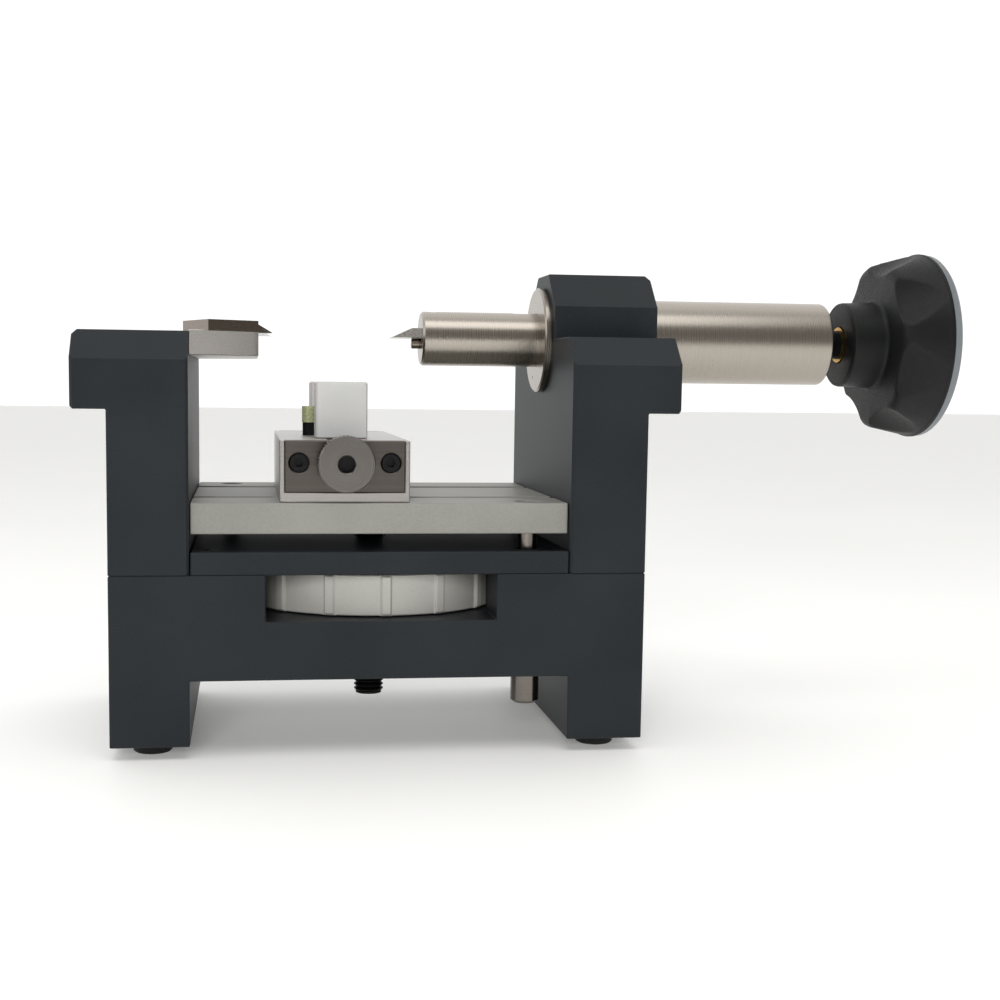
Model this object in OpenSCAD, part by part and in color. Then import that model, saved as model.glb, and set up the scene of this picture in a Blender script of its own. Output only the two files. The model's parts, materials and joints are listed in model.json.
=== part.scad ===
// Bench tool with two opposed blades for watch bezels and press-fit case backs.
// Origin: centre of the footprint on the bench. X runs from knife to knob, Y to the back, Z up.

/* [Frame] */
// Width of the block under the posts
body_w = 165; // [150:1:190]
// Depth of the block and posts
body_d = 100; // [96:1:120]
// Thickness of each post
post_t = 24; // [20:0.5:28]
// Height of the rubber feet
foot_h = 4; // [3:0.5:5]
// Height of the legs
leg_h = 20.2; // [18.6:0.2:24]
// Height of the bridge between the legs
bridge_h = 32.3; // [31:0.1:36]
// How far the post shoulders stand out
overhang = 10.5; // [6:0.5:14]
// Size of the long edge slopes on the posts
slope = 8.8; // [5:0.2:12]
// Height of the raised boss on the right post
boss_h = 21.6; // [21:0.2:24]
// Half depth of the raised boss
boss_half = 20; // [19:0.5:24]

/* [Height wheel] */
// Diameter over the ribs
wheel_d = 87.2; // [80:0.2:88]
// Thickness of the wheel
wheel_t = 12.8; // [10:0.1:12.9]
// Number of grip ribs
rib_count = 15; // [8:1:24]
// Width of the wheel window
window_w = 71.2; // [60:0.2:80]

/* [Table] */
// Thickness of the table
table_t = 9.5; // [9:0.1:12]
// Depth of the table
table_d = 93; // [90:1:95]
// Gap under the table
table_gap = 5.3; // [5:0.1:8]
// Distance between the two T slots
slot_pitch = 46; // [40:1:50]
// Width of the T slot mouth
slot_w = 6; // [5:0.1:7]

/* [Spindle] */
// Height of the spindle axis over the bridge top
axis_h = 73.5; // [73:0.1:76]
// Spindle diameter
spindle_d = 18; // [17:0.5:19]
// Barrel diameter
barrel_d = 28; // [27:0.5:30]
// Flange diameter
flange_d = 35; // [32:0.5:36]
// Free end of the spindle from the right post
spindle_reach = 41.8; // [30:0.2:44]

/* [Knob] */
// Knob diameter
knob_d = 63.5; // [56:0.5:70]
// Number of scallops
scallop_count = 7; // [5:1:9]

/* [Vise] */
// Position of the vise along the table
vise_x = -11.3; // [-15:0.1:12]
// Width of the vise body
vise_w = 40; // [38:0.5:44]
// Length of the vise body
vise_l = 90; // [88:0.5:92]
// Height of the vise body
vise_h = 19; // [18.6:0.1:20]
// Width of each jaw
jaw_w = 16.3; // [14:0.1:18]
// Height of each jaw
jaw_h = 17.7; // [14:0.1:18]
// Half of the gap between the jaws
jaw_gap = 14; // [13.6:0.1:15]

/* [Blades] */
// Thickness of the fixed knife
knife_t = 3.3; // [2.8:0.1:3.6]
// Thickness of the spindle blade
blade_t = 3.1; // [2.4:0.1:3.2]
// Depth of the hollow in the fixed knife edge
hollow = 2.7; // [1.5:0.1:3]

/* [Hidden] */
$fn = 96;
eps = 0.01;

// heights
leg_top = foot_h + leg_h;
seam_z = leg_top + bridge_h;
floor_z = seam_z - 14.3;
plate_t = 7;
plate_top = seam_z + plate_t;
table_z = plate_top + table_gap;
table_top = table_z + table_t;
axis_z = seam_z + axis_h;
boss_top = axis_z + boss_h;
hook_z = axis_z - 23.6;
slope_z = axis_z - slope;
blade_z = axis_z + 0.45;

// plan
half_w = body_w / 2;
half_d = body_d / 2;
post_in = half_w - post_t;
edge = 0.8;
seam_v = 0.3;
table_half = post_in - 0.3;

// wheel
washer_t = 0.4;
wheel_z = floor_z + washer_t + 0.05;
pocket_r = wheel_d / 2 + 2.2;
rib_w = 3.1;
rib_out = 0.9;
rib_turn = 272.4;
nut_d = 22;
nut_h = seam_z - floor_z - 2 * washer_t - 0.1;

// screw thread M10 x 1.5
m10 = 10;
m10_pitch = 1.5;
thread_gap = 0.1;

// guide pins, front right and back left
pin_x = 46.7;
pin_y = 39.5;
pin_d = 6;
bush_d = 9;
run_gap = 0.03;
bush_end = foot_h + 10.2;
pin_end = bush_end + 5.8;
pin_head_d = 7.7;
pin_top = table_top - 4.3;

// screws
m3 = 3;
m4 = 4;
m5 = 5;
m8 = 8;
foot_x = half_w - 12.1;
foot_y = half_d - 13.5;
foot_d = 12;
foot_stem = 5;
leg_screw_y = 18;
leg_seat_z = 36;
leg_screw_x = half_w - post_t / 2;
plate_screw_x = post_in - 5;
plate_screw_y = half_d - 8;

// spindle
flange_t = 1.6;
flange_gap = 0.8;
flange_x = post_in - flange_gap - flange_t;
sleeve_d = 24;
sleeve_end = post_in + 12;
spindle_x = post_in - spindle_reach;
spindle_end = spindle_x + 93;
barrel_end = half_w + 74.3;
barrel_bore = 22;
ring_d = 13;
ring_x = spindle_end - 8;
head_d = 12.4;
key_x = post_in + 17;
key_d = 4;
key_run = 3.2;
slot_from = key_x - 27.5;
slot_to = key_x + 9;
blade_tip = spindle_x - 10.1;
blade_rise = 25;
blade_half = 7.5;
blade_low = axis_z + 0.1;
blade_in = spindle_x + 10;
blade_pin_d = 3.5;
blade_pin_z = axis_z - 1.7;

// knob
hub_x = barrel_end + 7;
hub_r = 14.8;
knob_r = knob_d / 2;
insert_d = 12.2;
shank_d = 9.9;
knob_len = 27.5;
face_x = 12.1;
scallop_in = 24.1;
scallop_out = 31.6;
scallop_end = 26;
scallop_r = 26;
scallop_turn = 32.5;

// fixed knife
bracket_z = blade_z - 7.6;
bracket_screw_z = axis_z - 4;
knife_x0 = -post_in - 2.6;
knife_x1 = -post_in + 5.8;
knife_x2 = -post_in + 21;
knife_screw_x = -post_in + 15.5;
bracket_far = -post_in + 21;
nose_tip = -post_in + 25.7;
nose_half = 17;
knife_half = 29.6;
knife_back = 20.3;
knife_flare = 0.554;
knife_screw_y = 11;
bracket_screw_y = 20;
hollow_r = (nose_half * nose_half + hollow * hollow) / (2 * hollow);
hollow_cx = nose_tip - hollow + hollow_r;
knife_land = 1.62 * knife_t;

// vise
slide_gap = 0.02;
vise_z = table_top + slide_gap;
vise_top = vise_z + vise_h;
cap_w = 37;
cap_t = 5;
cap_h = 16;
vise_knob_y = -vise_l / 2 - 8.5;
vise_knob_d = 17.3;
vise_head_y = 3.3;
lead_z = vise_z + 12.1;
cap_y = vise_l / 2 - cap_t;
lead_d = 6;
lead_pitch = 1;
vise_screw_x = 14.1;
cavity_w = 24;
cavity_z0 = vise_z + 4.7;
cavity_z1 = vise_z + 16;
mouth_w = 10;
t_w = 10;
t_mouth = 3.2;
t_h = 3.3;
nut_half = 8;
jaw_t = 14;
jaw_z = vise_top + 0.2;
carrier_in = 12;
carrier_l = 15.5;
carrier_gap = 0.1;
rest_x = vise_x - 9.4;

// small helpers
module box(x0, x1, y0, y1, z0, z1) {
    translate([x0, y0, z0])
        cube([x1 - x0, y1 - y0, z1 - z0]);
}

module rod_x(d, x0, x1, y = 0, z = 0) {
    translate([x0, y, z])
        rotate([0, 90, 0])
            cylinder(d = d, h = x1 - x0);
}

module rod_y(d, y0, y1, x = 0, z = 0) {
    translate([x, y1, z])
        rotate([90, 0, 0])
            cylinder(d = d, h = y1 - y0);
}

module rod_z(d, z0, z1, x = 0, y = 0) {
    translate([x, y, z0])
        cylinder(d = d, h = z1 - z0);
}

module hexagon(af, h) {
    cylinder(d = af * 2 / sqrt(3), h = h, $fn = 6);
}

// shank up along Z from z = 0, head below with its socket facing down
module cap_screw(d, len, head_d, head_h, af) {
    difference() {
        union() {
            cylinder(d = d, h = len);
            translate([0, 0, -head_h])
                cylinder(d = head_d, h = head_h);
        }
        translate([0, 0, -head_h - eps])
            hexagon(af, head_h * 0.6);
    }
}

// countersunk screw pointing down from z = 0
module flat_screw(d, len, head_d, af) {
    head_h = (head_d - d) / 2;
    difference() {
        union() {
            translate([0, 0, -len])
                cylinder(d = d, h = len - head_h + eps);
            translate([0, 0, -head_h])
                cylinder(d1 = d, d2 = head_d, h = head_h);
        }
        translate([0, 0, -head_h * 0.8])
            hexagon(af, head_h);
    }
}

module flat_sink(d, len, head_d) {
    head_h = (head_d - d) / 2;
    translate([0, 0, -len - eps])
        cylinder(d = d, h = len + eps);
    translate([0, 0, -head_h])
        cylinder(d1 = d, d2 = head_d, h = head_h);
}

// threaded rod with rounds of thread, from z = 0 up
module thread_rod(d, pitch, len) {
    depth = 0.55 * pitch;
    count = floor(len / pitch);
    start = (len - count * pitch) / 2;
    crest = [for (i = [0 : count - 1]) each [
        [d / 2 - depth, start + i * pitch],
        [d / 2, start + (i + 0.45) * pitch],
        [d / 2, start + (i + 0.55) * pitch]
    ]];
    body = concat(
        [[0, 0], [d / 2 - depth, 0]],
        crest,
        [[d / 2 - depth, start + count * pitch], [d / 2 - depth, len], [0, len]]
    );
    rotate_extrude()
        polygon(body);
}

// post outline seen from the front, inner face at x = post_in
module post_front(top) {
    translate([0, half_d, 0])
        rotate([90, 0, 0])
            linear_extrude(body_d)
                polygon([
                    [post_in + seam_v, seam_z],
                    [half_w - seam_v, seam_z],
                    [half_w, seam_z + seam_v],
                    [half_w, hook_z],
                    [half_w + overhang - edge, hook_z],
                    [half_w + overhang, hook_z + edge],
                    [half_w + overhang, top - 1.5],
                    [half_w + overhang - 1.5, top],
                    [post_in, top],
                    [post_in, seam_z + seam_v]
                ]);
}

module side_outline(points) {
    translate([post_in - 1, 0, 0])
        rotate([90, 0, 90])
            linear_extrude(post_t + overhang + 2)
                polygon(points);
}

module plan_edges(top) {
    x1 = half_w + overhang;
    translate([0, 0, seam_z - 1])
        linear_extrude(top - seam_z + 2)
            polygon([
                [post_in + edge, -half_d],
                [x1 - edge, -half_d],
                [x1, -half_d + edge],
                [x1, half_d - edge],
                [x1 - edge, half_d],
                [post_in + edge, half_d],
                [post_in, half_d - edge],
                [post_in, -half_d + edge]
            ]);
}

// Frame

module base_bridge() {
    color("#3b3f45")
    difference() {
        box(-half_w, half_w, -half_d, half_d, foot_h, seam_z);
        box(-post_in, post_in, -half_d - 1, half_d + 1, foot_h - 1, leg_top);
        rod_z(2 * pocket_r, floor_z, seam_z + 1);
        box(-window_w / 2, window_w / 2, -half_d - 1, half_d + 1, floor_z, seam_z + 1);
        rod_z(m10 + 1, leg_top - 1, floor_z + 1);
        for (s = [-1, 1]) {
            rod_z(bush_d, leg_top - 1, seam_z + 1, s * pin_x, -s * pin_y);
            for (t = [-1, 1]) {
                rod_z(14, foot_h - 1, leg_seat_z, s * leg_screw_x, t * leg_screw_y);
                rod_z(m8, leg_seat_z - 1, seam_z + 1, s * leg_screw_x, t * leg_screw_y);
                rod_z(foot_stem, foot_h - 1, foot_h + 9, s * foot_x, t * foot_y);
                rod_z(m4, seam_z - 10, seam_z + 1, s * plate_screw_x, t * plate_screw_y);
            }
        }
    }
}

module left_post() {
    color("#3b3f45")
    difference() {
        mirror([1, 0, 0])
            intersection() {
                post_front(axis_z);
                plan_edges(axis_z);
                side_outline([
                    [-half_d, seam_z + seam_v],
                    [seam_v - half_d, seam_z],
                    [half_d - seam_v, seam_z],
                    [half_d, seam_z + seam_v],
                    [half_d, slope_z],
                    [half_d - slope, axis_z],
                    [-half_d + slope, axis_z],
                    [-half_d, slope_z]
                ]);
            }
        for (t = [-1, 1]) {
            rod_z(m8, seam_z - 1, seam_z + 16, -leg_screw_x, t * leg_screw_y);
            rod_x(m3, -half_w - overhang - 1, -post_in + 1, t * bracket_screw_y, bracket_screw_z);
            rod_x(6, -half_w - overhang - 1, -half_w + 8, t * bracket_screw_y, bracket_screw_z);
        }
    }
}

module right_post() {
    color("#3b3f45")
    difference() {
        intersection() {
            post_front(boss_top);
            plan_edges(boss_top);
            side_outline([
                [-half_d, seam_z + seam_v],
                [seam_v - half_d, seam_z],
                [half_d - seam_v, seam_z],
                [half_d, seam_z + seam_v],
                [half_d, slope_z],
                [half_d - slope, axis_z],
                [boss_half, axis_z],
                [boss_half, boss_top - 11],
                [boss_half - 11, boss_top],
                [11 - boss_half, boss_top],
                [-boss_half, boss_top - 11],
                [-boss_half, axis_z],
                [-half_d + slope, axis_z],
                [-half_d, slope_z]
            ]);
        }
        rod_x(sleeve_d, post_in - 1, sleeve_end + 1, 0, axis_z);
        rod_x(barrel_d, sleeve_end, half_w + overhang + 1, 0, axis_z);
        rod_z(6, axis_z, boss_top + 1, key_x, 0);
        for (t = [-1, 1])
            rod_z(m8, seam_z - 1, seam_z + 16, leg_screw_x, t * leg_screw_y);
    }
}

module guard_plate() {
    plate_half = post_in - 0.4;
    color("#3b3f45")
    difference() {
        box(-plate_half, plate_half, -half_d + 0.3, half_d - 0.3, seam_z, plate_top);
        rod_z(m10 + 1, seam_z - 1, plate_top + 1);
        for (s = [-1, 1]) {
            rod_z(pin_d + 1, seam_z - 1, plate_top + 1, s * pin_x, -s * pin_y);
            for (t = [-1, 1])
                translate([s * plate_screw_x, t * plate_screw_y, plate_top])
                    flat_sink(m4, plate_t + 1, 8);
        }
    }
}

module plate_screws() {
    color("#2a2b2d")
    for (s = [-1, 1])
        for (t = [-1, 1])
            translate([s * plate_screw_x, t * plate_screw_y, plate_top])
                flat_screw(m4, plate_t + 9, 8, 2.5);
}

module post_screws() {
    color("#2a2b2d")
    for (s = [-1, 1])
        for (t = [-1, 1])
            translate([s * leg_screw_x, t * leg_screw_y, leg_seat_z])
                cap_screw(m8, seam_z - leg_seat_z + 15, 13, 8, 6);
}

module rubber_feet() {
    color("#1b1b1c")
    for (s = [-1, 1])
        for (t = [-1, 1])
            translate([s * foot_x, t * foot_y, 0])
                union() {
                    cylinder(d1 = foot_d - 1, d2 = foot_d, h = 0.5);
                    translate([0, 0, 0.5])
                        cylinder(d = foot_d, h = foot_h - 0.5);
                    cylinder(d = foot_stem, h = foot_h + 8);
                }
}

module guide_bushes() {
    color("#c9c9c6")
    for (s = [-1, 1])
        difference() {
            union() {
                rod_z(bush_d, bush_end + 0.8, seam_z, s * pin_x, -s * pin_y);
                translate([s * pin_x, -s * pin_y, bush_end])
                    cylinder(d1 = bush_d - 1.6, d2 = bush_d, h = 0.8);
            }
            rod_z(pin_d + 2 * run_gap, bush_end - 1, seam_z + 1, s * pin_x, -s * pin_y);
        }
}

module thrust_washers() {
    color("#b59b5c")
    for (z = [floor_z, seam_z - washer_t])
        difference() {
            rod_z(nut_d + 4, z, z + washer_t);
            rod_z(m10 + 1, z - 1, z + washer_t + 1);
        }
}

module left_bracket() {
    rise = (knife_x2 + post_in) * knife_flare;
    color("#c4c6c7")
    difference() {
        translate([0, 0, bracket_z])
            linear_extrude(blade_z - bracket_z)
                polygon([
                    [-post_in, -knife_half - rise],
                    [bracket_far - 1.4, -knife_half - 0.8],
                    [bracket_far, -knife_half + 0.8],
                    [bracket_far, knife_half - 0.8],
                    [bracket_far - 1.4, knife_half + 0.8],
                    [-post_in, knife_half + rise]
                ]);
        for (t = [-1, 1])
            rod_x(m3, -post_in - 1, -post_in + 9, t * bracket_screw_y, bracket_screw_z);
        for (t = [-1, 0, 1])
            rod_z(m3, blade_z - 5.5, blade_z + 1, knife_screw_x, t * knife_screw_y);
    }
}

module bracket_screws() {
    color("#2a2b2d")
    for (t = [-1, 1])
        translate([-half_w + 8, t * bracket_screw_y, bracket_screw_z])
            rotate([0, 90, 0])
                cap_screw(m3, post_t, 5.5, 3, 2.5);
}

module left_knife() {
    rise = knife_x2 - knife_x1;
    color("#8b8580")
    difference() {
        union() {
            translate([0, 0, blade_z])
                linear_extrude(knife_t)
                    polygon([
                        [knife_x0, -knife_back],
                        [knife_x1, -knife_half - rise * knife_flare],
                        [knife_x2, -knife_half],
                        [knife_x2, knife_half],
                        [knife_x1, knife_half + rise * knife_flare],
                        [knife_x0, knife_back]
                    ]);
            box(knife_x2 - 3, nose_tip + 1, -nose_half, nose_half, blade_z, blade_z + knife_t);
        }
        translate([hollow_cx, 0, blade_z])
            cylinder(r1 = hollow_r, r2 = hollow_r + knife_land, h = knife_t + eps, $fn = 180);
        for (t = [-1, 0, 1])
            translate([knife_screw_x, t * knife_screw_y, blade_z + knife_t])
                flat_sink(m3, knife_t + 1, 6);
    }
}

module knife_screws() {
    color("#2a2b2d")
    for (t = [-1, 0, 1])
        translate([knife_screw_x, t * knife_screw_y, blade_z + knife_t])
            flat_screw(m3, knife_t + 5, 6, 2);
}

module flange_bush() {
    color("#cfcdc8")
    difference() {
        union() {
            rod_x(flange_d, flange_x + 0.5, flange_x + flange_t, 0, axis_z);
            translate([flange_x, 0, axis_z])
                rotate([0, 90, 0])
                    cylinder(d1 = flange_d - 1, d2 = flange_d, h = 0.5);
            rod_x(flange_d - 2, flange_x + flange_t, post_in, 0, axis_z);
            rod_x(sleeve_d, post_in, sleeve_end, 0, axis_z);
        }
        rod_x(spindle_d + 2 * run_gap, flange_x - 1, sleeve_end + 1, 0, axis_z);
        rod_x(0.9, flange_x - 1, flange_x + 0.8, 4, axis_z - 12.5);
    }
}

module barrel() {
    round_r = 1;
    color("#bdb8b0")
    difference() {
        union() {
            rod_x(barrel_d, sleeve_end, barrel_end - round_r, 0, axis_z);
            rod_x(barrel_d - 2 * round_r, barrel_end - round_r, barrel_end, 0, axis_z);
            translate([barrel_end - round_r, 0, axis_z])
                rotate([0, 90, 0])
                    rotate_extrude()
                        translate([barrel_d / 2 - round_r, 0])
                            circle(r = round_r);
        }
        rod_x(barrel_bore, sleeve_end - 1, barrel_end + 1, 0, axis_z);
        rod_z(6, axis_z + 2, axis_z + barrel_d, key_x, 0);
    }
}

module rear_bush() {
    color("#b08a4a")
    difference() {
        rod_x(barrel_bore, key_x + 10, key_x + 26, 0, axis_z);
        rod_x(spindle_d + 2 * run_gap, key_x, key_x + 30, 0, axis_z);
    }
}

module feed_nut() {
    color("#b08a4a")
    difference() {
        rod_x(barrel_bore, barrel_end - 15, barrel_end - 1, 0, axis_z);
        rod_x(m10 + 2 * thread_gap, barrel_end - 16, barrel_end, 0, axis_z);
    }
}

module key_screw() {
    body_top = boss_top - 0.6;
    dog_z = axis_z + spindle_d / 2 + 2;
    color("#2a2b2d")
    difference() {
        union() {
            rod_z(6, dog_z, body_top, key_x, 0);
            rod_z(key_d, axis_z + spindle_d / 2 - key_run + 0.3, dog_z + eps, key_x, 0);
        }
        translate([key_x, 0, body_top - 3])
            hexagon(3, 4);
    }
}

// Spindle

module spindle() {
    color("#c6c0b6")
    difference() {
        union() {
            rod_x(spindle_d, spindle_x + 0.7, spindle_end, 0, axis_z);
            translate([spindle_x, 0, axis_z])
                rotate([0, 90, 0])
                    cylinder(d1 = spindle_d - 1.4, d2 = spindle_d, h = 0.7);
        }
        box(spindle_x - 1, blade_in, -blade_half, blade_half, blade_low, blade_low + blade_t);
        rod_x(blade_pin_d, spindle_x - 1, spindle_x + 7, 0, blade_pin_z);
        rod_z(m4, blade_low, axis_z + spindle_d, spindle_x + 4, 0);
        box(slot_from, slot_to, -key_d / 2 - 0.05, key_d / 2 + 0.05,
            axis_z + spindle_d / 2 - key_run, axis_z + spindle_d);
        rod_x(ring_d, ring_x - 5, spindle_end + 1, 0, axis_z);
        rod_x(m10 + 1, ring_x - 8, ring_x, 0, axis_z);
    }
}

module right_blade() {
    rise_x = blade_t / tan(blade_rise);
    color("#cfcfd0")
    translate([0, blade_half, 0])
        rotate([90, 0, 0])
            linear_extrude(2 * blade_half)
                polygon([
                    [blade_tip, blade_low],
                    [blade_in, blade_low],
                    [blade_in, blade_low + blade_t],
                    [blade_tip + rise_x, blade_low + blade_t]
                ]);
}

module blade_pin() {
    color("#77746f")
    union() {
        rod_x(blade_pin_d, spindle_x - 2.8, spindle_x + 7, 0, blade_pin_z);
        translate([spindle_x - 3.1, 0, blade_pin_z])
            rotate([0, 90, 0])
                cylinder(d1 = blade_pin_d - 0.6, d2 = blade_pin_d, h = 0.3);
    }
}

module blade_set_screw() {
    z0 = blade_low + blade_t;
    z1 = axis_z + spindle_d / 2 - 1;
    color("#2a2b2d")
    difference() {
        rod_z(m4, z0, z1, spindle_x + 4, 0);
        translate([spindle_x + 4, 0, z1 - 2])
            hexagon(2, 3);
    }
}

module thrust_ring() {
    color("#b08a4a")
    difference() {
        rod_x(ring_d, ring_x, ring_x + 6, 0, axis_z);
        rod_x(8.1, ring_x - 1, ring_x + 7, 0, axis_z);
    }
}

// Feed knob

module feed_screw() {
    color("#b9b9b6")
    union() {
        rod_x(head_d, ring_x - 4.9, ring_x - 0.05, 0, axis_z);
        rod_x(7.9, ring_x - 0.1, ring_x + 6.5, 0, axis_z);
        translate([ring_x + 6.5, 0, axis_z])
            rotate([0, 90, 0])
                thread_rod(m10, m10_pitch, hub_x - ring_x - 7.5);
        rod_x(shank_d, hub_x - 1 - eps, hub_x + 14, 0, axis_z);
    }
}

module knob_insert() {
    color("#b8923f")
    difference() {
        rod_x(insert_d, hub_x - 0.2, hub_x + 16, 0, axis_z);
        rod_x(shank_d, hub_x - 1, hub_x + 14, 0, axis_z);
    }
}

// one hollow, cut by a round bar that leans out towards the cap
module scallop() {
    lean = atan((scallop_out - scallop_in) / (scallop_end - face_x));
    translate([scallop_in, 0, face_x])
        rotate([0, lean, 0])
            translate([scallop_r, 0, -30])
                cylinder(r = scallop_r, h = 70);
}

module knob_body() {
    color("#1d1e20")
    translate([hub_x, 0, axis_z])
        rotate([0, 90, 0])
            difference() {
                union() {
                    difference() {
                        rotate_extrude()
                            polygon([
                                [0, face_x],
                                [25.9, face_x],
                                [27.5, face_x + 0.5],
                                [28.7, face_x + 1.7],
                                [knob_r - 0.35, knob_len - 1.2],
                                [knob_r, knob_len - 0.6],
                                [knob_r, knob_len],
                                [0, knob_len]
                            ]);
                        for (i = [0 : scallop_count - 1])
                            rotate([0, 0, scallop_turn + i * 360 / scallop_count])
                                scallop();
                    }
                    rotate_extrude()
                        polygon([
                            [0, 0],
                            [hub_r - 1.2, 0],
                            [hub_r - 0.5, 0.3],
                            [hub_r - 0.3, 1],
                            [hub_r, face_x - 0.7],
                            [hub_r + 0.8, face_x + 0.1],
                            [0, face_x + 0.1]
                        ]);
                }
                translate([0, 0, -1])
                    cylinder(d = insert_d, h = 17);
            }
}

module knob_cap() {
    cap_r = knob_r - 0.3;
    color("#c9ced1")
    translate([hub_x + knob_len, 0, axis_z])
        rotate([0, 90, 0])
            rotate_extrude()
                polygon([
                    [0, 0],
                    [cap_r, 0],
                    [cap_r, 2.2],
                    [cap_r - 0.6, 2.9],
                    [cap_r - 5, 3.8],
                    [cap_r - 14, 4.6],
                    [0, 5]
                ]);
}

// Height wheel

module height_wheel() {
    color("#d4d1ca")
    difference() {
        union() {
            rod_z(wheel_d - 2 * rib_out, wheel_z, wheel_z + wheel_t);
            for (i = [0 : rib_count - 1])
                rotate([0, 0, rib_turn + i * 360 / rib_count])
                    box(wheel_d / 2 - 4, wheel_d / 2, -rib_w / 2, rib_w / 2,
                        wheel_z + 0.3, wheel_z + wheel_t - 0.3);
        }
        rod_z(nut_d, wheel_z - 1, wheel_z + wheel_t + 1);
    }
}

module wheel_nut() {
    color("#b08a4a")
    difference() {
        rod_z(nut_d, wheel_z, wheel_z + nut_h);
        rod_z(m10 + 2 * thread_gap, floor_z, seam_z);
    }
}

// Table

module table_plate() {
    color("#cfccc5")
    difference() {
        box(-table_half, table_half, -table_d / 2, table_d / 2, table_z, table_top);
        for (s = [-1, 1]) {
            y = s * slot_pitch / 2;
            box(-table_half - 1, table_half + 1, y - slot_w / 2, y + slot_w / 2,
                table_top - t_mouth - 1, table_top + 1);
            box(-table_half - 1, table_half + 1, y - t_w / 2, y + t_w / 2,
                table_top - t_mouth - t_h, table_top - t_mouth);
            rod_z(pin_d, table_z - 1, pin_top, s * pin_x, -s * pin_y);
            rod_z(pin_head_d, pin_top, table_top + 1, s * pin_x, -s * pin_y);
        }
        rod_z(m10, table_z - 1, table_z + 4);
        translate([0, 0, table_top])
            flat_sink(m5, table_t + 1, 10);
    }
}

module guide_pins() {
    color("#d6d6d4")
    for (s = [-1, 1])
        difference() {
            union() {
                rod_z(pin_d, pin_end + 0.6, pin_top, s * pin_x, -s * pin_y);
                translate([s * pin_x, -s * pin_y, pin_end])
                    cylinder(d1 = pin_d - 1.2, d2 = pin_d, h = 0.6);
            }
            rod_z(m3, pin_top - 9, pin_top + 1, s * pin_x, -s * pin_y);
        }
}

module pin_screws() {
    color("#4a4b4d")
    for (s = [-1, 1])
        translate([s * pin_x, -s * pin_y, pin_top])
            mirror([0, 0, 1])
                cap_screw(m3, 8, 7, 3, 2.5);
}

module lift_screw() {
    color("#2f2c2a")
    difference() {
        union() {
            translate([0, 0, foot_h + 6.2])
                thread_rod(m10, m10_pitch, table_z - foot_h - 6.2);
            rod_z(m10 - 1.2, foot_h + 5.6, foot_h + 6.3);
            rod_z(m10, table_z - eps, table_z + 4);
        }
        rod_z(m5, table_z - 8, table_z + 5);
    }
}

module table_screw() {
    color("#8a8c8e")
    translate([0, 0, table_top])
        flat_screw(m5, table_t + 6, 10, 3);
}

// Vise

module vise_body() {
    x0 = vise_x - vise_w / 2;
    x1 = vise_x + vise_w / 2;
    color("#c2c3c3")
    difference() {
        box(x0, x1, -vise_l / 2, vise_l / 2, vise_z, vise_top);
        for (s = [-1, 1]) {
            y0 = s > 0 ? cap_y : -vise_l / 2 - 1;
            box(vise_x - cap_w / 2, vise_x + cap_w / 2, y0, y0 + cap_t + 1,
                vise_top - cap_h, vise_top + 1);
            for (t = [-1, 1])
                rod_y(m3, s > 0 ? cap_y - 9 : -cap_y - 1, s > 0 ? cap_y + 1 : -cap_y + 9,
                    vise_x + t * vise_screw_x, lead_z);
            translate([vise_x, s * slot_pitch / 2, cavity_z0])
                flat_sink(m4, 6, 7.6);
        }
        box(vise_x - cavity_w / 2, vise_x + cavity_w / 2, -vise_l, vise_l, cavity_z0, cavity_z1);
        box(vise_x - mouth_w / 2, vise_x + mouth_w / 2, -vise_l, vise_l, cavity_z1 - 1, vise_top + 1);
        rod_z(2.2, vise_top - 2.8, vise_top + 1, rest_x, 0);
    }
}

module vise_plate(front) {
    y0 = front ? -vise_l / 2 : cap_y;
    head_y = front ? -vise_l / 2 - 1 : vise_l / 2 - vise_head_y;
    difference() {
        box(vise_x - cap_w / 2, vise_x + cap_w / 2, y0, y0 + cap_t, vise_top - cap_h, vise_top);
        rod_y(lead_d + 2 * run_gap, y0 - 1, y0 + cap_t + 1, vise_x, lead_z);
        for (t = [-1, 1]) {
            rod_y(m3, y0 - 1, y0 + cap_t + 1, vise_x + t * vise_screw_x, lead_z);
            rod_y(6.1, head_y, head_y + 4.3, vise_x + t * vise_screw_x, lead_z);
        }
    }
}

module vise_front_plate() {
    color("#b4b5b5")
        vise_plate(true);
}

module vise_rear_plate() {
    color("#b4b5b5")
        vise_plate(false);
}

module vise_screws() {
    color("#1c1c1d")
    for (s = [-1, 1])
        for (t = [-1, 1])
            translate([vise_x + t * vise_screw_x, s * (vise_l / 2 - vise_head_y), lead_z])
                rotate([s * 90, 0, 0])
                    cap_screw(m3, 9, 5.5, 2.9, 2.5);
}

module t_nuts() {
    color("#8f9193")
    for (s = [-1, 1]) {
        y = s * slot_pitch / 2;
        difference() {
            union() {
                box(vise_x - nut_half, vise_x + nut_half, y - slot_w / 2 + 0.1, y + slot_w / 2 - 0.1,
                    table_top - t_mouth - 1, table_top);
                box(vise_x - nut_half, vise_x + nut_half, y - t_w / 2 + 0.15, y + t_w / 2 - 0.15,
                    table_top - t_mouth - t_h + 0.1, table_top - t_mouth - 0.1);
            }
            rod_z(m4, table_top - 10, table_top + 1, vise_x, y);
        }
    }
}

module t_nut_screws() {
    color("#8a8c8e")
    for (s = [-1, 1])
        translate([vise_x, s * slot_pitch / 2, cavity_z0])
            flat_screw(m4, 10.5, 7.6, 2.5);
}

module rest_base() {
    color("#202020")
    union() {
        rod_z(4, vise_top, vise_top + 4.3, rest_x, 0);
        rod_z(2.2, vise_top - 2.8, vise_top + 8.8, rest_x, 0);
    }
}

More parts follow.
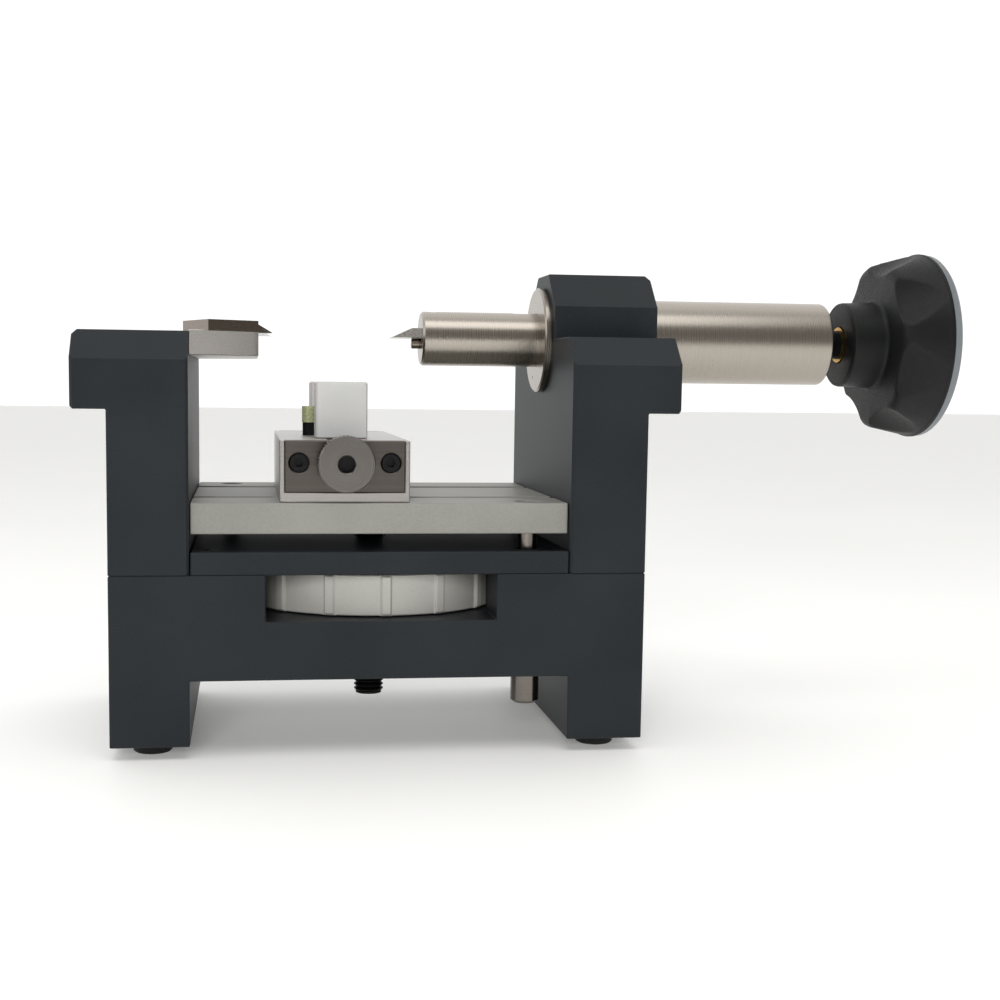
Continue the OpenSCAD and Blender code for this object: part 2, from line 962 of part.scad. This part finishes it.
module rest_cap() {
    color("#b9c25a")
    difference() {
        rod_z(4.4, vise_top + 4.3, vise_top + 9.7, rest_x, 0);
        rod_z(2.2, vise_top + 4.2, vise_top + 8.8, rest_x, 0);
    }
}

// Vise screw

module vise_leadscrew() {
    y_end = vise_l / 2;
    color("#b4b4b2")
    union() {
        rod_y(lead_d, -y_end - 5, -cap_y + 0.1, vise_x, lead_z);
        rod_y(9, -cap_y + 0.1, -cap_y + 2.3, vise_x, lead_z);
        translate([vise_x, -cap_y + 2.3 - eps, lead_z])
            rotate([-90, 0, 0])
                thread_rod(lead_d, lead_pitch, 2 * cap_y - 4.4);
        rod_y(lead_d, cap_y - 2.15, y_end - 0.3, vise_x, lead_z);
    }
}

module vise_knob() {
    knurls = 48;
    color("#c6c7c7")
    difference() {
        union() {
            rod_y(vise_knob_d, vise_knob_y + 0.3, vise_knob_y + 7, vise_x, lead_z);
            translate([vise_x, vise_knob_y + 0.3, lead_z])
                rotate([90, 0, 0])
                    cylinder(d1 = vise_knob_d, d2 = vise_knob_d - 0.6, h = 0.3);
            rod_y(9, vise_knob_y + 7, vise_knob_y + 8.2, vise_x, lead_z);
        }
        rod_y(lead_d, vise_knob_y + 3.5, vise_knob_y + 9, vise_x, lead_z);
        rod_y(5.3, vise_knob_y - 1, vise_knob_y + 4, vise_x, lead_z);
        translate([vise_x, vise_knob_y - 0.01, lead_z])
            rotate([-90, 0, 0])
                cylinder(d1 = 5.9, d2 = 5.3, h = 0.3);
        for (i = [0 : knurls - 1])
            translate([vise_x, vise_knob_y + 0.8, lead_z])
                rotate([-90, 0, 0])
                    rotate([0, 0, i * 360 / knurls])
                        translate([vise_knob_d / 2, 0, 0])
                            rotate([0, 0, 45])
                                translate([-0.3, -0.3, 0])
                                    cube([0.6, 0.6, 6.4]);
        rod_z(3, lead_z + 2, lead_z + 10, vise_x, vise_knob_y + 5);
    }
}

module vise_knob_screw() {
    color("#2a2b2d")
    difference() {
        rod_z(3, lead_z + 3, lead_z + 8, vise_x, vise_knob_y + 5);
        translate([vise_x, vise_knob_y + 5, lead_z + 6.5])
            hexagon(1.5, 3);
    }
}

// Jaws, drawn for the front and mirrored for the rear

module jaw() {
    bevel = 0.5;
    x0 = vise_x - jaw_w / 2;
    x1 = vise_x + jaw_w / 2;
    y0 = -jaw_gap - jaw_t;
    y1 = -jaw_gap;
    difference() {
        intersection() {
            translate([0, 0, jaw_z])
                linear_extrude(jaw_h)
                    polygon([
                        [x0 + bevel, y0],
                        [x1 - bevel, y0],
                        [x1, y0 + bevel],
                        [x1, y1 - bevel],
                        [x1 - bevel, y1],
                        [x0 + bevel, y1],
                        [x0, y1 - bevel],
                        [x0, y0 + bevel]
                    ]);
            translate([0, y1, 0])
                rotate([90, 0, 0])
                    linear_extrude(jaw_t)
                        polygon([
                            [x0, jaw_z],
                            [x1, jaw_z],
                            [x1, jaw_z + jaw_h - bevel],
                            [x1 - bevel, jaw_z + jaw_h],
                            [x0 + bevel, jaw_z + jaw_h],
                            [x0, jaw_z + jaw_h - bevel]
                        ]);
        }
        rod_z(m4, jaw_z - 1, jaw_z + jaw_h, vise_x, y0 + jaw_t / 2);
        rod_z(7.4, jaw_z + jaw_h - 5, jaw_z + jaw_h + 1, vise_x, y0 + jaw_t / 2);
    }
}

module carrier() {
    y1 = -carrier_in;
    y0 = -carrier_in - carrier_l;
    xc = cavity_w / 2 - carrier_gap;
    xm = mouth_w / 2 - carrier_gap;
    difference() {
        union() {
            box(vise_x - xc, vise_x + xc, y0, y1, cavity_z0 + carrier_gap, cavity_z1 - carrier_gap);
            box(vise_x - xm, vise_x + xm, y0, y1, cavity_z1 - 1, jaw_z);
        }
        rod_y(lead_d + 2 * thread_gap, y0 - 1, y1 + 1, vise_x, lead_z);
        rod_z(m4, lead_z + 4, jaw_z + 1, vise_x, -jaw_gap - jaw_t / 2);
    }
}

module jaw_screw() {
    translate([vise_x, -jaw_gap - jaw_t / 2, jaw_z + jaw_h - 5])
        mirror([0, 0, 1])
            cap_screw(m4, jaw_z + jaw_h - 5 - lead_z - 4.5, 7, 4, 3);
}

module front_jaw() {
    color("#e9ebee")
        jaw();
}

module front_carrier() {
    color("#a9aaab")
        carrier();
}

module front_jaw_screw() {
    color("#8a8c8e")
        jaw_screw();
}

module rear_jaw() {
    color("#e9ebee")
        mirror([0, 1, 0])
            jaw();
}

module rear_carrier() {
    color("#a9aaab")
        mirror([0, 1, 0])
            carrier();
}

module rear_jaw_screw() {
    color("#8a8c8e")
        mirror([0, 1, 0])
            jaw_screw();
}

// DRAW
base_bridge();
left_post();
right_post();
guard_plate();
plate_screws();
post_screws();
rubber_feet();
guide_bushes();
thrust_washers();
left_bracket();
bracket_screws();
left_knife();
knife_screws();
flange_bush();
barrel();
rear_bush();
feed_nut();
key_screw();
spindle();
right_blade();
blade_pin();
blade_set_screw();
thrust_ring();
feed_screw();
knob_insert();
knob_body();
knob_cap();
height_wheel();
wheel_nut();
table_plate();
guide_pins();
pin_screws();
lift_screw();
table_screw();
vise_body();
vise_front_plate();
vise_rear_plate();
vise_screws();
t_nuts();
t_nut_screws();
rest_base();
rest_cap();
vise_leadscrew();
vise_knob();
vise_knob_screw();
front_jaw();
front_carrier();
front_jaw_screw();
rear_jaw();
rear_carrier();
rear_jaw_screw();
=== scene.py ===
"""Looks of the two blade bezel and case back opener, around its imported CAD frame."""

import json
import math

import bmesh
import bpy
from mathutils import Matrix, Vector


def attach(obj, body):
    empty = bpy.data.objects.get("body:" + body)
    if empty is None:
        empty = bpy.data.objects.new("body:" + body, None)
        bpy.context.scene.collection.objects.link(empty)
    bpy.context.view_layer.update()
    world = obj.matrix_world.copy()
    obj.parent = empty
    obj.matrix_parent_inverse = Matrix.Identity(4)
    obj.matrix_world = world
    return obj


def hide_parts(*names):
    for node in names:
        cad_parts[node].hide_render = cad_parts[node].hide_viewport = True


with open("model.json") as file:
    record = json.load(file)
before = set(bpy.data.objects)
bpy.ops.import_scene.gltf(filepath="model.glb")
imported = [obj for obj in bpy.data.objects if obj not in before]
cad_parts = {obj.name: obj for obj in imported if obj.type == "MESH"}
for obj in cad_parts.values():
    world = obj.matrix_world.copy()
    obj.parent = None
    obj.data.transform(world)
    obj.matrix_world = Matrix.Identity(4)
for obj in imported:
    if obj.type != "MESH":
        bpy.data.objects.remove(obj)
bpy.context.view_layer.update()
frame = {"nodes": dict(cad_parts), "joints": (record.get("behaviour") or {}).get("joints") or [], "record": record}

MM = 0.001
nodes = frame["nodes"]
JOINTS = {joint["name"]: joint for joint in frame["joints"]}


# ---------------------------------------------------------------- materials

# A Mix node's sockets for colours. They go by number, because its number sockets share the names.
MIX_FACTOR, MIX_DARK, MIX_LIGHT, MIX_RESULT = 0, 6, 7, 2

# A noise pattern stays mostly within these two values.
NOISE_LOW, NOISE_HIGH = 0.3, 0.7


def linear(code):
    """A hex sRGB colour as linear red, green, blue and alpha."""
    parts = [int(code[i : i + 2], 16) / 255 for i in (1, 3, 5)]
    return [c / 12.92 if c <= 0.04045 else ((c + 0.055) / 1.055) ** 2.4 for c in parts] + [1.0]


def add(tree, kind, sockets=None, **settings):
    """Adds one shader node. A socket is given a value or another node's output."""
    node = tree.nodes.new(kind)
    for name, value in settings.items():
        setattr(node, name, value)
    for name, value in (sockets or {}).items():
        if isinstance(value, bpy.types.NodeSocket):
            tree.links.new(value, node.inputs[name])
        else:
            node.inputs[name].default_value = value
    return node


def new_material(name, metallic, **more):
    """A material with only its surface shader and its Object coordinates."""
    mat = bpy.data.materials.new(name)
    mat.use_nodes = True
    tree = mat.node_tree
    tree.nodes.clear()
    shader = add(tree, "ShaderNodeBsdfPrincipled", {"Metallic": metallic})
    for socket, value in more.items():
        shader.inputs[socket.replace("_", " ")].default_value = value
    add(tree, "ShaderNodeOutputMaterial", {"Surface": shader.outputs["BSDF"]})
    place = add(tree, "ShaderNodeTexCoord").outputs["Object"]
    return mat, tree, shader, place


def grains(tree, place, size_mm, detail=2.0, roughness=0.5):
    """A pattern whose grains measure size_mm along X, Y and Z."""
    steps = add(
        tree, "ShaderNodeMapping", {"Vector": place, "Scale": [1 / (s * MM) for s in size_mm]}
    )
    return add(
        tree,
        "ShaderNodeTexNoise",
        {
            "Vector": steps.outputs["Vector"],
            "Scale": 1.0,
            "Detail": detail,
            "Roughness": roughness,
        },
    ).outputs["Fac"]


def tinted(tree, pattern, dark, light, low=NOISE_LOW, high=NOISE_HIGH):
    """The colour of a surface that drifts from dark to light with a pattern."""
    share = add(
        tree, "ShaderNodeMapRange", {"Value": pattern, "From Min": low, "From Max": high}
    ).outputs["Result"]
    return add(
        tree,
        "ShaderNodeMix",
        {MIX_FACTOR: share, MIX_DARK: linear(dark), MIX_LIGHT: linear(light)},
        data_type="RGBA",
    ).outputs[MIX_RESULT]


def surfaced(tree, shader, colour, marks, rough, depth_mm, strength=1.0):
    """Gives the surface its colour, and lets its marks vary the roughness and the relief."""
    sheen = add(
        tree,
        "ShaderNodeMapRange",
        {
            "Value": marks,
            "From Min": NOISE_LOW,
            "From Max": NOISE_HIGH,
            "To Min": rough[0],
            "To Max": rough[1],
        },
    )
    relief = add(
        tree, "ShaderNodeBump", {"Height": marks, "Distance": depth_mm * MM, "Strength": strength}
    )
    tree.links.new(colour, shader.inputs["Base Color"])
    tree.links.new(sheen.outputs["Result"], shader.inputs["Roughness"])
    tree.links.new(relief.outputs["Normal"], shader.inputs["Normal"])


def blasted(name, dark, light, metallic, rough):
    """Anodised aluminium, bead blasted: an even matte grain under a faint cloudiness.

    The beads leave dimples of about 0.1 mm, drawn wider here so that they show.
    """
    dimple_mm, depth_mm, cloud_mm = 0.45, 0.012, 38
    mean_low, mean_high = 0.38, 0.62
    mat, tree, shader, place = new_material(name, metallic, Specular_IOR_Level=0.2)
    dimples = grains(tree, place, (dimple_mm,) * 3, detail=3.0, roughness=0.6)
    cloud = grains(tree, place, (cloud_mm,) * 3)
    both = add(tree, "ShaderNodeMath", {0: dimples, 1: cloud}, operation="ADD").outputs[0]
    mean = add(tree, "ShaderNodeMath", {0: both, 1: 0.5}, operation="MULTIPLY").outputs[0]
    colour = tinted(tree, mean, dark, light, mean_low, mean_high)
    surfaced(tree, shader, colour, dimples, rough, depth_mm, strength=0.6)
    return mat


def grained(name, dark, light, mark_mm, rough, depth_mm=0.004, metallic=1.0):
    """Metal with straight cutter, stone or brush marks, fine across and long along them."""
    mat, tree, shader, place = new_material(name, metallic)
    marks = grains(tree, place, mark_mm, detail=3.0, roughness=0.65)
    surfaced(tree, shader, tinted(tree, marks, dark, light), marks, rough, depth_mm)
    return mat


def turned(name, dark, light, joint, step_mm, rough, depth_mm=0.003):
    """Metal from the lathe: rings round a joint's axis, on the rounds and on the end faces."""
    mat, tree, shader, place = new_material(name, metallic=1.0)
    middle, axis = JOINTS[joint]["pos_m"], JOINTS[joint]["axis"]
    across = [1 - abs(part) for part in axis]
    centred = add(tree, "ShaderNodeVectorMath", {0: place, 1: middle}, operation="SUBTRACT")
    flat = add(
        tree,
        "ShaderNodeVectorMath",
        {0: centred.outputs["Vector"], 1: across},
        operation="MULTIPLY",
    )
    radius = add(
        tree, "ShaderNodeVectorMath", {0: flat.outputs["Vector"]}, operation="LENGTH"
    ).outputs["Value"]
    along = add(
        tree, "ShaderNodeVectorMath", {0: place, 1: axis}, operation="DOT_PRODUCT"
    ).outputs["Value"]
    path = add(tree, "ShaderNodeMath", {0: radius, 1: along}, operation="ADD").outputs[0]
    steps = add(tree, "ShaderNodeMath", {0: path, 1: 1 / (step_mm * MM)}, operation="MULTIPLY")
    rings = add(
        tree,
        "ShaderNodeTexNoise",
        {"W": steps.outputs[0], "Scale": 1.0, "Detail": 3.0, "Roughness": 0.6},
        noise_dimensions="1D",
    ).outputs["Fac"]
    surfaced(tree, shader, tinted(tree, rings, dark, light), rings, rough, depth_mm)
    return mat


def moulded(name, dark, light, grain_mm, rough, depth_mm, **more):
    """Plastic or rubber from a spark eroded mould: a soft grain and a slow drift of tone."""
    cloud_mm = 22
    mat, tree, shader, place = new_material(name, metallic=0.0, **more)
    grain = grains(tree, place, (grain_mm,) * 3)
    cloud = grains(tree, place, (cloud_mm,) * 3)
    colour = tinted(tree, cloud, dark, light)
    surfaced(tree, shader, colour, grain, rough, depth_mm, strength=0.7)
    return mat


# Marks that run from one end of a piece to the other, in millimetres.
LONG = 4000

# Aluminium, milled, bead blasted and anodised slate: near black, matte, with soft highlights.
slate_anodised = blasted(
    "slate_anodised_aluminium", "#1f2326", "#272b2e", metallic=0.08, rough=(0.4, 0.54)
)

# Aluminium, bead blasted and anodised grey: an even, silky mid grey for the table.
grey_anodised = blasted(
    "light_grey_anodised_aluminium", "#868580", "#93928c", metallic=0.15, rough=(0.4, 0.52)
)

# Aluminium, blasted and clear anodised: the pale, satin grip of the height wheel.
pale_anodised = blasted(
    "pale_grey_anodised_wheel", "#adaca6", "#b9b8b2", metallic=0.1, rough=(0.4, 0.52)
)

# Stainless steel, turned: fine rings that draw dark and bright bands along the barrel. Real feed
# marks are 0.05 to 0.1 mm apart, and all the lathe's rings are drawn wider so that they show.
turned_steel = turned(
    "turned_stainless_steel",
    "#a29b91",
    "#b6afa6",
    joint="knob_turn",
    step_mm=0.2,
    rough=(0.25, 0.33),
    depth_mm=0.0012,
)

# Stainless steel, faced on the lathe: deeper rings that fan the light out across the flange.
turned_flange = turned(
    "faced_stainless_steel",
    "#8f887f",
    "#aaa39a",
    joint="knob_turn",
    step_mm=0.3,
    rough=(0.2, 0.34),
)

# Tool steel, turned and oiled: a darker grey, satin knob on the vise screw.
turned_knob = turned(
    "turned_steel_vise_screw",
    "#6f6b67",
    "#7e7a76",
    joint="vise_screw_turn",
    step_mm=0.25,
    rough=(0.26, 0.32),
    depth_mm=0.0008,
)

# Steel pins, ground round: close rings that leave a sharp mirror. Their colour is darkened as painted shade, for
# the pins and bushes in the shaded gap under the table.
# The stone's marks are drawn 0.3 mm wide, because real ones are too fine to show.
ground_pins_painted_shade = grained(
    "ground_steel_pins_painted_shade", "#6b6761", "#827c76", mark_mm=(LONG, LONG, 0.3), rough=(0.14, 0.24)
)

# Aluminium, milled and left bare: bright, with straight cutter marks along the vise.
milled = grained(
    "milled_aluminium",
    "#a9a5a2",
    "#c1bdba",
    mark_mm=(LONG, 0.5, 0.5),
    rough=(0.3, 0.46),
    depth_mm=0.005,
)

# The same metal cut across, front to back, and painted a little paler as painted light: the knife's bracket.
milled_bracket_painted_light = grained(
    "milled_aluminium_bracket_painted_light",
    "#c6c2be",
    "#dad6d2",
    mark_mm=(0.5, LONG, 0.5),
    rough=(0.34, 0.5),
)

# Aluminium plate, fly cut: a brown grey face painted dark, as painted reflection of the dim room in front of it,
# with fainter marks.
milled_plate_painted_reflection = grained(
    "milled_aluminium_plate_painted_reflection",
    "#5c5753",
    "#6b6661",
    mark_mm=(LONG, 0.4, 0.4),
    rough=(0.3, 0.4),
    depth_mm=0.002,
)

# Tool steel, hardened and ground: a dark mirror, whose brown colour is a painted reflection of its surroundings.
polished_knife_painted_reflection = grained(
    "ground_tool_steel_painted_reflection",
    "#776d64",
    "#8f857b",
    mark_mm=(0.4, LONG, 0.4),
    rough=(0.08, 0.18),
    depth_mm=0.001,
)

# Blade steel, polished: the brightest metal, with a soft edge to its highlights.
bright_blade = grained(
    "polished_blade_steel",
    "#b3afaa",
    "#cbc7c2",
    mark_mm=(0.4, LONG, 0.4),
    rough=(0.2, 0.3),
    depth_mm=0.001,
)

# Screw steel, chemically blackened and oiled: nearly black, with a dull metallic shine.
black_steel = grained(
    "blackened_steel",
    "#1a1a1b",
    "#29292a",
    mark_mm=(0.6, 0.6, 0.6),
    rough=(0.35, 0.5),
    metallic=0.8,
)

# Screw steel, zinc plated: a cool light grey with a slight mottle.
zinc_steel = grained(
    "zinc_plated_steel", "#98989a", "#b4b4b5", mark_mm=(0.5, 0.5, 0.5), rough=(0.25, 0.4)
)

# Bearing bronze, turned: a warm brown yellow, duller than the brass.
bronze = grained(
    "bearing_bronze", "#8c6a35", "#a8843f", mark_mm=(0.4, 0.4, 0.4), rough=(0.25, 0.4)
)

# Brass, turned: a bright yellow ring where the knob meets its screw.
brass = grained(
    "turned_brass", "#b18a3c", "#c9a14c", mark_mm=(0.2, LONG, LONG), rough=(0.2, 0.34)
)

# Glass filled nylon, moulded: black and matte, with a pale rim of light only at grazing angles.
black_knob = moulded(
    "matte_black_nylon",
    "#0c0c0d",
    "#131415",
    grain_mm=0.6,
    rough=(0.42, 0.6),
    depth_mm=0.02,
    Specular_IOR_Level=0.3,
)

# ABS, moulded smooth: a mid grey disc with a soft sheen.
grey_cap = moulded(
    "light_grey_abs", "#6b7073", "#757a7d", grain_mm=0.8, rough=(0.3, 0.42), depth_mm=0.008
)

# Acetal, moulded: a warm white that lets a little light in.
white_jaw = moulded(
    "white_acetal",
    "#bdbbb9",
    "#c5c3c1",
    grain_mm=0.7,
    rough=(0.36, 0.48),
    depth_mm=0.006,
    Subsurface_Weight=0.15,
)

# Urethane, cast: a clear yellow green that glows where light comes through.
rest_tip = moulded(
    "yellow_green_urethane",
    "#b3b88a",
    "#bdc295",
    grain_mm=0.5,
    rough=(0.24, 0.3),
    depth_mm=0.001,
    Transmission_Weight=0.35,
)

# Rubber, moulded: black, with a dry, dull face.
foot_rubber = moulded(
    "black_rubber", "#121212", "#1b1b1b", grain_mm=0.5, rough=(0.55, 0.75), depth_mm=0.03
)

FINISH = {
    "base_bridge": slate_anodised,
    "left_post": slate_anodised,
    "right_post": slate_anodised,
    "guard_plate": slate_anodised,
    "plate_screws": black_steel,
    "post_screws": black_steel,
    "rubber_feet": foot_rubber,
    "guide_bushes": ground_pins_painted_shade,
    "thrust_washers": bronze,
    "left_bracket": milled_bracket_painted_light,
    "bracket_screws": black_steel,
    "left_knife": polished_knife_painted_reflection,
    "knife_screws": black_steel,
    "flange_bush": turned_flange,
    "barrel": turned_steel,
    "rear_bush": bronze,
    "feed_nut": bronze,
    "key_screw": black_steel,
    "spindle": turned_steel,
    "right_blade": bright_blade,
    "blade_pin": polished_knife_painted_reflection,
    "blade_set_screw": black_steel,
    "thrust_ring": bronze,
    "feed_screw": black_steel,
    "knob_insert": brass,
    "knob_body": black_knob,
    "knob_cap": grey_cap,
    "height_wheel": pale_anodised,
    "wheel_nut": bronze,
    "table_plate": grey_anodised,
    "guide_pins": ground_pins_painted_shade,
    "pin_screws": black_steel,
    "lift_screw": black_steel,
    "table_screw": zinc_steel,
    "vise_body": milled,
    "vise_front_plate": milled_plate_painted_reflection,
    "vise_rear_plate": milled_plate_painted_reflection,
    "vise_screws": black_steel,
    "t_nuts": zinc_steel,
    "t_nut_screws": zinc_steel,
    "rest_base": black_knob,
    "rest_cap": rest_tip,
    "vise_leadscrew": black_steel,
    "vise_knob": turned_knob,
    "vise_knob_screw": black_steel,
    "front_jaw": white_jaw,
    "front_carrier": milled,
    "front_jaw_screw": zinc_steel,
    "rear_jaw": white_jaw,
    "rear_carrier": milled,
    "rear_jaw_screw": zinc_steel,
}

for name, finish in FINISH.items():
    nodes[name].data.materials.clear()
    nodes[name].data.materials.append(finish)


# ---------------------------------------------------------------- pieces

# The body that each CAD node moves with.
BODY = {
    node: body for body, held in frame["record"]["behaviour"]["bodies"].items() for node in held
}

# How far apart the copies of one corner, and the triangles of one flat face, may be.
SAME_POINT_MM = 0.001
SAME_PLANE_DEG = 0.4


def bend(edge):
    """The angle between an edge's two faces, or nothing where it doesn't have two."""
    return edge.calc_face_angle() if len(edge.link_faces) == 2 else None


def eased(node, width_mm, segments=1, over_deg=50, smooth_deg=20):
    """The CAD piece with its sharp edges broken by a small round, as a deburred part has."""
    bm = bmesh.new()
    bm.from_mesh(nodes[node].data)
    bmesh.ops.remove_doubles(bm, verts=bm.verts, dist=SAME_POINT_MM * MM)
    bmesh.ops.dissolve_limit(
        bm, angle_limit=math.radians(SAME_PLANE_DEG), verts=bm.verts, edges=bm.edges
    )
    sharp = [e for e in bm.edges if (bend(e) or 0) > math.radians(over_deg)]
    bmesh.ops.bevel(
        bm,
        geom=sharp,
        offset=width_mm * MM,
        offset_type="OFFSET",
        segments=segments,
        profile=0.5,
        affect="EDGES",
        clamp_overlap=False,
        material=-1,
    )
    bmesh.ops.triangulate(bm, faces=[f for f in bm.faces if len(f.verts) > 4])
    for face in bm.faces:
        face.smooth = True
    for edge in bm.edges:
        angle = bend(edge)
        edge.smooth = angle is not None and angle < math.radians(smooth_deg)
    mesh = bpy.data.meshes.new(node + "_eased")
    bm.to_mesh(mesh)
    bm.free()
    mesh.materials.append(FINISH[node])
    piece = bpy.data.objects.new(mesh.name, mesh)
    bpy.context.scene.collection.objects.link(piece)
    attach(piece, BODY[node])
    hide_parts(node)


# The width of the broken edge on each machined piece, in millimetres.
EDGE_WIDTHS = {
    "base_bridge": 0.3,
    "left_post": 0.3,
    "right_post": 0.3,
    "guard_plate": 0.3,
    "table_plate": 0.25,
    "left_bracket": 0.2,
    "vise_body": 0.2,
    "vise_front_plate": 0.3,
    "vise_rear_plate": 0.3,
    "height_wheel": 0.35,
    "front_jaw": 0.15,
    "rear_jaw": 0.15,
}

for node, width in EDGE_WIDTHS.items():
    eased(node, width)

# The moulded knob's corners are rounder, and its shallow ones are rounded too.
eased("knob_body", 0.8, segments=3, over_deg=16, smooth_deg=40)


# ---------------------------------------------------------------- floor, light and camera


def floor():
    """Matte white paper, laid flat, that gives back a little light of its own."""
    cloud_mm, reach_m = 160, 6.0
    mat, tree, shader, place = new_material(
        "pale_floor", metallic=0.0, Roughness=0.6, Emission_Strength=0.16
    )
    tone = tinted(tree, grains(tree, place, (cloud_mm,) * 3), "#f3f3f1", "#f6f6f4")
    for socket in ("Base Color", "Emission Color"):
        tree.links.new(tone, shader.inputs[socket])
    bm = bmesh.new()
    bmesh.ops.create_grid(bm, x_segments=2, y_segments=2, size=reach_m)
    mesh = bpy.data.meshes.new("floor")
    bm.to_mesh(mesh)
    bm.free()
    mesh.materials.append(mat)
    plane = bpy.data.objects.new("floor", mesh)
    bpy.context.scene.collection.objects.link(plane)


def softbox(name, place, aim, size, watts, in_metal=True):
    """A rectangular light that faces its aim. Out of metal, it only brightens matte surfaces."""
    data = bpy.data.lights.new(name, "AREA")
    data.shape = "RECTANGLE"
    data.size, data.size_y = size
    data.energy = watts
    box = bpy.data.objects.new(name, data)
    box.location = place
    box.rotation_euler = (Vector(aim) - Vector(place)).to_track_quat("-Z", "Y").to_euler()
    box.visible_glossy = in_metal
    bpy.context.scene.collection.objects.link(box)


def daylight():
    """Bright surroundings behind and above, dim in front, so that metal keeps its contrast."""
    behind_and_above = (0.0, 0.9, 0.35)
    dim_until, bright_from, strength = -0.1, 0.6, 1.1
    world = bpy.data.worlds.new("studio")
    bpy.context.scene.world = world
    world.use_nodes = True
    tree = world.node_tree
    tree.nodes.clear()
    way = add(tree, "ShaderNodeTexCoord").outputs["Generated"]
    lift = add(
        tree, "ShaderNodeVectorMath", {0: way, 1: behind_and_above}, operation="DOT_PRODUCT"
    ).outputs["Value"]
    tone = tinted(tree, lift, "#7c7976", "#ffffff", dim_until, bright_from)
    glow = add(tree, "ShaderNodeBackground", {"Color": tone, "Strength": strength})
    add(tree, "ShaderNodeOutputWorld", {"Surface": glow.outputs["Background"]})


def camera():
    """Stands in front of the tool, a little left of its middle and at the height of the blades."""
    place_mm = (-40.654, -486.703, 114.876)
    yaw, pitch, roll = -0.1324, -0.1008, -0.0114
    turns = ((yaw, "Z"), (pitch, "X"), (roll, "Y"))
    turn = Matrix.Identity(3)
    for angle, axis in turns:
        turn = turn @ Matrix.Rotation(angle, 3, axis)
    right, ahead, up = (turn @ Vector(v) for v in ((1, 0, 0), (0, 1, 0), (0, 0, 1)))
    data = bpy.data.cameras.new("camera")
    data.sensor_width, data.lens = 36.0, 51.988
    data.shift_x, data.shift_y = 0.06, 0.03
    data.clip_start, data.clip_end = 0.01, 50
    cam = bpy.data.objects.new("camera", data)
    facing = Matrix((right, up, -ahead)).transposed().to_4x4()
    cam.matrix_world = Matrix.Translation(Vector(place_mm) * MM) @ facing
    bpy.context.scene.collection.objects.link(cam)
    bpy.context.scene.camera = cam


floor()
daylight()
softbox(
    "front_light",
    place=(-0.2, -1.0, 0.3),
    aim=(0.03, 0, 0.07),
    size=(0.35, 0.3),
    watts=6,
    in_metal=False,
)
softbox("top_light", place=(0, -0.5, 1.1), aim=(0.03, 0, 0.08), size=(1.0, 0.6), watts=4)
softbox("left_light", place=(-1.0, -0.2, 0.5), aim=(0, 0, 0.1), size=(0.5, 0.5), watts=1)
camera()

# Keeps the white floor white and the knob nearly black.
bpy.context.scene.view_settings.view_transform = "Standard"
